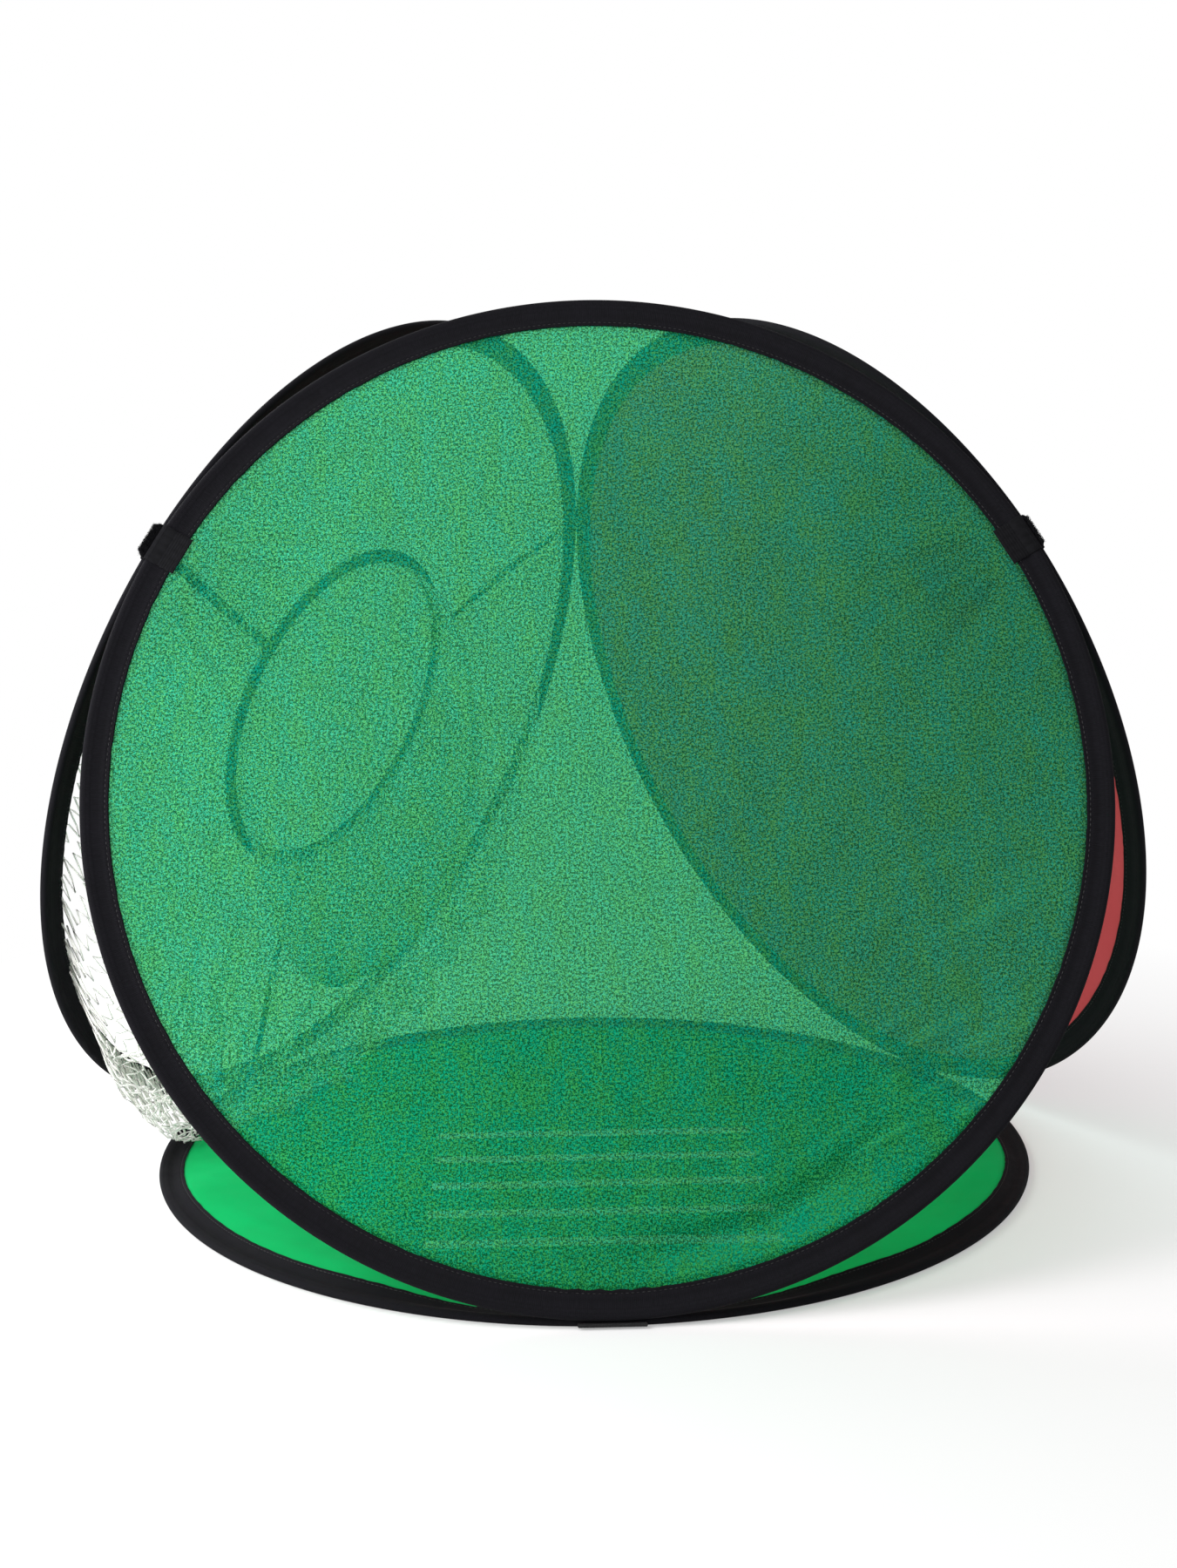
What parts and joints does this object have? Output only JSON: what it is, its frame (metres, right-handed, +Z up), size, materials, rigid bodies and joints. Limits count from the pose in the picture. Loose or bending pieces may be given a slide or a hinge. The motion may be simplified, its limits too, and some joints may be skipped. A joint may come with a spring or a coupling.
{
  "type": "golf chipping net",
  "caption": "Pop-up golf chipping net: a ground hoop and three leaning hoops with a green mesh, a red panel and a net with a target ring and catch pocket.",
  "frame": {"origin": "centre of the ground sheet, on the ground", "axes": "+Z up; the green face looks to -Y, the red face to +X and +Y, the net face to -X and +Y"},
  "size_m": [0.7092, 0.6809, 0.58],
  "materials": {
    "spring_steel": "hardened spring strip, satin",
    "ferrule": "crimped sheet steel",
    "black_tape": "matte woven polyester binding tape",
    "black_thread": "heavy sewn bar of polyester thread",
    "hook_and_loop": "brushed loop and moulded hook tape",
    "black_webbing": "narrow woven webbing",
    "green_sheet": "plain woven nylon with a plain white print",
    "green_mesh": "sheer knitted polyester mesh",
    "red_fabric": "thin woven polyester, lets light through",
    "white_net": "knotless polyester netting"
  },
  "bodies": {
    "ground": {"base_spring": "spring_steel", "base_ferrule": "ferrule", "base_binding": "black_tape", "base_panel": "green_sheet", "hinge_green": "black_thread", "hinge_red": "black_thread", "hinge_net": "black_thread"},
    "green_face": {"green_spring": "spring_steel", "green_ferrule": "ferrule", "green_binding": "black_tape", "green_panel": "green_mesh", "tab_green_to_net": "hook_and_loop", "tab_green_to_red": "hook_and_loop"},
    "red_face": {"red_spring": "spring_steel", "red_ferrule": "ferrule", "red_binding": "black_tape", "red_panel": "red_fabric", "tab_red_to_green": "hook_and_loop", "tab_red_to_net": "hook_and_loop"},
    "net_face": {"net_spring": "spring_steel", "net_ferrule": "ferrule", "net_binding": "black_tape", "net_panel": "white_net", "tab_net_to_green": "hook_and_loop", "tab_net_to_red": "hook_and_loop", "ring_spring": "spring_steel", "ring_ferrule": "ferrule", "ring_binding": "black_tape", "strap_green_side": "black_webbing", "strap_red_side": "black_webbing", "strap_foot": "black_webbing", "net_pocket": "white_net"}
  },
  "joints": [
    {"name": "green_hinge", "type": "hinge", "parent": "ground", "child": "green_face", "pos_m": [0, -0.30725, 0.0026], "axis": [1, 0, 0], "range_deg": [0, 109]},
    {"name": "red_hinge", "type": "hinge", "parent": "ground", "child": "red_face", "pos_m": [0.26609, 0.15363, 0.0026], "axis": [-0.5, 0.866, 0], "range_deg": [0, 109]},
    {"name": "net_hinge", "type": "hinge", "parent": "ground", "child": "net_face", "pos_m": [-0.26609, 0.15363, 0.0026], "axis": [-0.5, -0.866, 0], "range_deg": [0, 109]}
  ]
}
